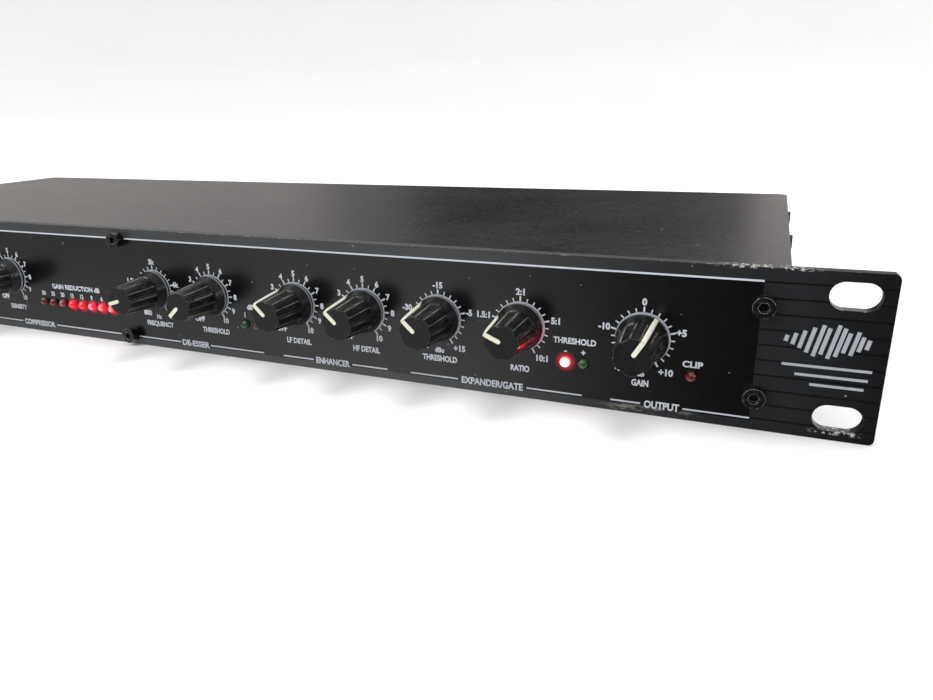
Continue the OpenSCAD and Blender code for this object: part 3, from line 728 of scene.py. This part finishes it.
def knob_mesh():
    """A hollow skirted knob with a dished face and a bore for its shaft."""
    bm = bmesh.new()
    rows = [ring(bm, -height, [radius - flute(360.0 * i / ROUND, height) for i in range(ROUND)])
            for height, radius in PROFILE]
    rows += [ring(bm, -KNOB_TOP + dish, [radius] * ROUND)
             for radius, dish in ((3.6, 0.0), (2.2, 0.03), (0.9, 0.03))]
    inside = [ring(bm, -height, [radius] * ROUND) for height, radius in ((2.6, 6.1), (2.6, 3.05))]
    rows = list(reversed(inside)) + rows
    skin(bm, rows)
    bm.faces.new(rows[-1])
    bm.faces.new(list(reversed(rows[0])))
    return as_mesh("knob", bm)


FIN = [  # (height, body radius, outer radius) of the pointer's fin, from the face to the skirt
    (16.2, 5.00, 5.62), (14.5, 5.16, 5.86), (10.5, 5.47, 6.24), (6.5, 5.78, 6.60),
    (4.3, 5.94, 6.80), (3.5, 6.32, 6.87), (2.7, 6.58, 6.94), (1.9, 6.90, 7.02),
    (1.45, 7.04, 7.08),
]
POINTER_HALF = 0.62                    # half the pointer's width
POINTER_TOP, POINTER_BASE = -16.70, -16.25   # y of the line's top, and of its foot in the face


def pointer_mesh():
    """The ivory line: along the face from near its centre, over the rim and down a fin."""
    half, top_y, base_y = POINTER_HALF, POINTER_TOP, POINTER_BASE
    bm = bmesh.new()
    nose = [(-half * math.cos(a), 0.9 - half * math.sin(a))
            for a in (math.pi * k / 8 for k in range(1, 8))]
    face = [(-half, 4.9), (-half, 0.9), *nose, (half, 0.9), (half, 4.9)]
    top = [bm.verts.new(mm(x, top_y, z)) for x, z in face]
    low = [bm.verts.new(mm(x, base_y, z)) for x, z in face]
    bm.faces.new(top)
    for i in range(len(face) - 1):
        bm.faces.new((top[i], top[i + 1], low[i + 1], low[i]))
    bm.faces.new(list(reversed(low)))
    # Closed rows of six points round the fin, from the face's rim down to the skirt
    rows = []
    for y, shoulder, edge in ((top_y, 4.9, 5.15), (-16.62, 5.30, 5.42)):
        left = [(-half, base_y, 4.6), (-half, y, shoulder), (-half * 0.8, y, edge)]
        rows.append(left + [(-x, deep, z) for x, deep, z in reversed(left)])
    for height, inner, outer in FIN:
        left = [(-half, -height, inner - 0.3), (-half, -height, outer - 0.12),
                (-half * 0.8, -height, outer)]
        rows.append(left + [(-x, deep, z) for x, deep, z in reversed(left)])
    rows = [[bm.verts.new(mm(*point)) for point in row] for row in rows]
    skin(bm, rows)
    bm.faces.new(list(reversed(rows[0])))
    bm.faces.new(rows[-1])
    bmesh.ops.remove_doubles(bm, verts=bm.verts, dist=1e-7)
    bmesh.ops.dissolve_degenerate(bm, edges=bm.edges, dist=1e-7)
    return as_mesh("pointer", bm)


def build_knobs():
    body, pointer = knob_mesh(), pointer_mesh()
    smoothed(body, M["knob"], 32)
    smoothed(pointer, M["pointer"], 50)
    for name, (x, angle) in KNOBS.items():
        for kind, mesh in (("body", body), ("pointer", pointer)):
            obj = add_object(f"knob_{name}_{kind}", mesh)
            obj.matrix_world = (Matrix.Translation(mm(x, PANEL_FACE, KNOB_Z)) @
                                Matrix.Rotation(math.radians(angle), 4, "Y"))
            if kind == "body":
                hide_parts("knob_" + name)
            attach(obj, "control_" + name)


# ---------------------------------------------------------------- lamps

LENS_DARK = (0.11, 0.008, 0.006)
LAMPS = {
    "red_dark": glow("lens_red_dark", (1, 0, 0), 0.0, LENS_DARK),
    "red_dim": glow("lens_red_dim", (1.0, 0.005, 0.01), 0.12, (0.20, 0.006, 0.006)),
    "red_lit": glow("lens_red_lit", (1.0, 0.008, 0.035), 1.5, (0.5, 0.006, 0.012), 0.0),
    "red_full": glow("lens_red_full", (1.0, 0.014, 0.045), 2.3, (0.6, 0.01, 0.02), 0.22),
    "red_hot": glow("lens_red_hot", (1.0, 0.012, 0.05), 4.5, (0.6, 0.01, 0.02),
                    spot=(1.05, 1.6)),
    "green_dark": glow("lens_green_dark", (0, 1, 0), 0.0, (0.012, 0.075, 0.018)),
    "yellow_dark": glow("lens_yellow_dark", (1, 1, 0), 0.0, (0.30, 0.16, 0.012)),
}
LEG_X, LEG_HALF = 0.63, 0.22           # a lamp's square legs


def lamp_mesh():
    """Lens with a domed nose, a base flange behind the panel and two legs."""
    bm = bmesh.new()
    steps = 32
    profile = [(4.6, 0.3), (4.6, 1.9), (3.8, 1.9), (3.8, 1.5), (-3.3, 1.5)]   # (y, radius)
    profile += [(-3.3 - 1.5 * math.sin(a), 1.5 * math.cos(a))
                for a in (math.pi / 2 * k / 8 for k in range(1, 8))]
    rows = [ring(bm, y, [radius] * steps) for y, radius in profile]
    skin(bm, rows)
    tip = bm.verts.new(mm(0, -4.8, 0))
    for i in range(steps):
        bm.faces.new((rows[-1][i], rows[-1][(i + 1) % steps], tip))
    bm.faces.new(list(reversed(rows[0])))
    for side in (-1, 1):
        left, right = side * LEG_X - LEG_HALF, side * LEG_X + LEG_HALF
        slab(bm, [(left, -LEG_HALF), (right, -LEG_HALF), (right, LEG_HALF), (left, LEG_HALF)],
             4.5, 11.5)
    return as_mesh("lamp", bm)


def spill_light(place, towards):
    """The lit gate lamp's red light, thrown on the knob beside it."""
    light = bpy.data.lights.new("lamp_spill", "SPOT")
    light.energy, light.color = 0.012, (1.0, 0.02, 0.04)
    light.spot_size, light.spot_blend = math.radians(85), 0.7
    light.shadow_soft_size = 1.0 * MM
    spill = add_object("lamp_spill", light)
    spill.location = place
    spill.rotation_euler = towards.to_track_quat("-Z", "Y").to_euler()


METER_STATES = ["red_dark"] * 2 + ["red_dim"] + ["red_lit"] * 2 + ["red_full"] * 3
ROW_LAMPS = [  # (name, x, state, slot) of the lamps in the meter's row
    ("lamp_peak", PEAK_LAMP_X, "red_dark", "lamp_red"),
    ("lamp_deess_6", 55.4, "red_dark", "lamp_red"),
    ("lamp_gate_minus", GATE_LAMP_X, "red_hot", "lamp_red"),
    ("lamp_clip", CLIP_LAMP_X, "red_dark", "lamp_red"),
    ("lamp_deess_1", 50.2, "green_dark", "lamp_green"),
    ("lamp_gate_plus", 168.0, "green_dark", "lamp_green"),
]
# One CAD node holds all lamps of a colour, so the first piece of each stands for it
LAMP_NODES = {"lamp_reduction_0": "leds_red", "lamp_deess_1": "leds_green",
              "lamp_button_0": "leds_yellow"}


def build_lamps():
    base = lamp_mesh()
    meter_x = [METER_X + METER_STEP * i for i in range(len(METER_STATES))]
    lamps = [(f"lamp_reduction_{i}", x, LAMP_Z, state, "lamp_red")
             for i, (x, state) in enumerate(zip(meter_x, METER_STATES))]
    lamps += [(name, x, LAMP_Z, state, slot) for name, x, state, slot in ROW_LAMPS]
    lamps += [(f"lamp_button_{i}", x, BUTTON_LAMP_Z, "yellow_dark", "lamp_yellow")
              for i, x in enumerate(BUTTON_X)]
    for name, x, z, state, slot in lamps:
        obj = add_object(name, base.copy())
        smoothed(obj.data, LAMPS[state], 40)
        obj.location = mm(x, 0, z)
        if name in LAMP_NODES:
            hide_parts(LAMP_NODES[name])
        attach(obj, "case")
    lit = [x for x, state in zip(meter_x, METER_STATES) if state in ("red_lit", "red_full")]
    lamp_halo(M["panel"], [*lit, GATE_LAMP_X], 3.6, 0.55)
    spill_light(mm(GATE_LAMP_X, PANEL_FACE - 2.6, LAMP_Z), Vector((-0.6, -0.35, 0.7)))


# ---------------------------------------------------------------- buttons and the rear

def build_buttons():
    for name in ("phantom", "highpass", "bypass"):
        dress(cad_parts["button_" + name], "button")
        low, high = (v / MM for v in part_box("button_" + name))
        cx, cz = (low.x + high.x) / 2, (low.z + high.z) / 2
        bm = bmesh.new()
        bar(bm, cx - 3.1, cz, cx + 3.1, cz, 0.4, front=low.y - 0.015, back=low.y)
        make(f"button_{name}_mark", bm, "print", "push_" + name)


REAR_WORDS = [  # (text, x, z, cap height)
    ("MIC INPUT", -158.0, 14.2, 1.9), ("INSERT", -115.0, 11.6, 1.8),
    ("LINE INPUT", -145.0, 11.6, 1.8), ("LINE OUTPUT", 20.0, 11.6, 1.8),
    ("BALANCED OUTPUT", 82.0, 14.2, 1.9), ("POWER", 138.0, 13.6, 1.9),
]


def print_rear():
    """Plain function words over the rear sockets."""
    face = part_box("rear_plate")[1].y / MM
    bm = bmesh.new()
    for text, x, z, cap in REAR_WORDS:
        write(bm, text, x, z, cap, face=face, out=1.0)
    make("rear_lettering", bm, "print")


ROCKER_PIVOT = Vector((0.138, 0.1437, 0.0))   # metres
ROCKER_LEAN = math.radians(9.0)        # its tilt at rest, with the power on
ROCKER_CREASE = Vector((1.6, 0.0))     # (y, z) of the crease between its halves, from the pivot
ROCKER_RUN, ROCKER_RISE = 8.0, 1.5     # how each half slopes away from the crease


def rocker_mark(name, draw, side):
    """A printed mark on one half of the rocker, drawn flat and laid on its sloping face."""
    along = Vector((ROCKER_RISE, ROCKER_RUN * side)).normalized()
    out = Vector((ROCKER_RUN, -ROCKER_RISE * side)).normalized()
    bm = bmesh.new()
    draw(bm)
    for vert in bm.verts:
        x, deep, up = vert.co / MM
        y, z = ROCKER_CREASE + along * up + out * (PANEL_FACE - deep)
        vert.co = ROCKER_PIVOT + mm(x, y * math.cos(ROCKER_LEAN) - z * math.sin(ROCKER_LEAN),
                                    y * math.sin(ROCKER_LEAN) + z * math.cos(ROCKER_LEAN))
    make(name, bm, "print", "rocker")


print_panel()
print_ears()
build_knobs()
build_lamps()
build_buttons()
print_rear()
rocker_mark("rocker_on", lambda bm: bar(bm, 0, 3.4, 0, 6.2, 0.45), 1)
rocker_mark("rocker_off", lambda bm: arc(bm, 0, 4.8, 1.25, 0.4, 0, 359.5, 32), -1)


# ---------------------------------------------------------------- floor, light, camera

FLOOR_PROFILE = [  # (radius, height above the object's lowest point), in metres
    (0.35, 0.0), (0.8, 0.0), (1.3, 0.0), (1.7, 0.015), (2.0, 0.08), (2.2, 0.22), (2.3, 0.42),
    (2.33, 0.62),
]


def build_floor():
    """A round pale floor that turns up into a wall well away from the object."""
    bm = bmesh.new()
    drop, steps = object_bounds()[0].z, 96
    rows = [[bm.verts.new((r * math.cos(a), r * math.sin(a), drop + h))
             for a in (2 * math.pi * i / steps for i in range(steps))] for r, h in FLOOR_PROFILE]
    skin(bm, rows)
    bm.faces.new(list(reversed(rows[0])))
    floor = add_object("studio_floor", as_mesh("studio_floor", bm))
    floor.data.materials.append(
        finish("floor_paper", (0.90, 0.90, 0.90), (0.92, 0.92, 0.92), 0.85, patch=3, grain=900,
               bump=0.03, sockets={"Specular IOR Level": 0.1}))
    floor.data.shade_smooth()
    floor.visible_glossy = False


def ramp(tree, value, stops):
    """A smooth curve through (position, brightness) stops, both from 0 to 1."""
    node = add(tree, "ValToRGB", {0: value})
    elements = node.color_ramp.elements
    node.color_ramp.interpolation = "EASE"
    while len(elements) < len(stops):
        elements.new(0.5)
    for element, (place, level) in zip(elements, stops):
        element.position = place
        element.color = (level, level, level, 1.0)
    return node.outputs[0]


# Brightness round the horizon, as stops from the left, 0, to the right, 1
FRONT_LEVELS = [(0.0, 0.55), (0.12, 0.62), (0.22, 0.95), (0.32, 0.92), (0.40, 0.22),
                (0.47, 0.0), (0.72, 0.0), (0.86, 0.15), (1.0, 0.4)]
BACK_LEVELS = [(0.0, 0.66), (0.20, 0.48), (0.25, 0.20), (0.30, 0.0), (0.36, 0.0),
               (0.43, 0.04), (0.48, 0.10), (0.505, 0.60), (0.62, 0.9)]


def build_world():
    """Pale studio light from above, uneven round the horizon as in a room with one window."""
    world = bpy.data.worlds.new("studio")
    bpy.context.scene.world = world
    world.use_nodes = True
    tree = world.node_tree
    where = add(tree, "TexCoord").outputs["Generated"]
    x, y, z = axes_of(tree, where)
    flat = maths(tree, "MAXIMUM", distance(tree, x, y), 0.001)
    side = remap(tree, maths(tree, "DIVIDE", x, flat), -1, 1)
    back = remap(tree, y, -0.08, 0.08)
    front = times(tree, ramp(tree, side, FRONT_LEVELS), remap(tree, z, -0.10, -0.34, 0.55, 1.35))
    level = add(tree, "Mix", {0: back, 2: front, 3: ramp(tree, side, BACK_LEVELS)}).outputs[0]
    high = remap(tree, z, 0.30, 0.46, smooth=True)
    low = remap(tree, z, -0.55, -0.75, smooth=True)
    sky = times(tree, remap(tree, z, 0.3, 0.8, 0.95, 1.35, smooth=True),
                remap(tree, x, -0.1, 0.8, 1.0, 0.62))
    light = add(tree, "Mix", {0: maths(tree, "MAXIMUM", high, low), 2: level,
                              3: sky}).outputs[0]
    seen = add(tree, "LightPath").outputs["Is Camera Ray"]
    strength = add(tree, "Mix", {0: seen, 2: light, 3: 1.0}).outputs[0]
    behind = times(tree, back, maths(tree, "SUBTRACT", 1.0, high))
    tint = blend(tree, behind, (1.0, 0.990, 0.985), (1.0, 0.945, 0.920))
    background = tree.nodes["Background"]
    tree.links.new(tint, background.inputs["Color"])
    tree.links.new(strength, background.inputs["Strength"])


def area(name, place, target, size, power, diffuse=True, glossy=True):
    """A round soft light. diffuse and glossy say which kind of surface it lights."""
    light = bpy.data.lights.new(name, "AREA")
    light.energy, light.shape, light.size = power, "DISK", size
    obj = add_object(name, light)
    obj.location = place
    obj.rotation_euler = (Vector(target) - Vector(place)).to_track_quat("-Z", "Y").to_euler()
    obj.visible_diffuse, obj.visible_glossy = diffuse, glossy


def build_camera():
    """The camera that was fitted to the photo's slots, dials and cover edges."""
    data = bpy.data.cameras.new("camera")
    data.sensor_width, data.lens = 36.0, 27.917
    data.shift_x, data.shift_y = 0.02158, -0.01251
    data.clip_start, data.clip_end = 0.01, 20.0
    camera = add_object("camera", data)
    camera.location = (0.21073, -0.19351, 0.06310)
    camera.rotation_euler = Euler([math.radians(a) for a in (71.6767, 1.5225, 23.5100)], "XYZ")
    bpy.context.scene.camera = camera


build_floor()
build_world()
area("softbox_left", (-0.9, -0.9, 0.9), (0.1, 0, 0), 0.5, 9.0)
area("softbox_top", (0.3, 0.2, 1.3), (0.1, 0.05, 0), 0.7, 8.0, glossy=False)
area("rim_right", (1.1, -0.05, 0.25), (0.1, 0, 0), 0.22, 2.2, diffuse=False)
area("window_left", (-0.35, -0.35, 0.75), (0.1, 0, 0), 0.16, 2.0, diffuse=False)
build_camera()
bpy.context.scene.view_settings.view_transform = "Standard"
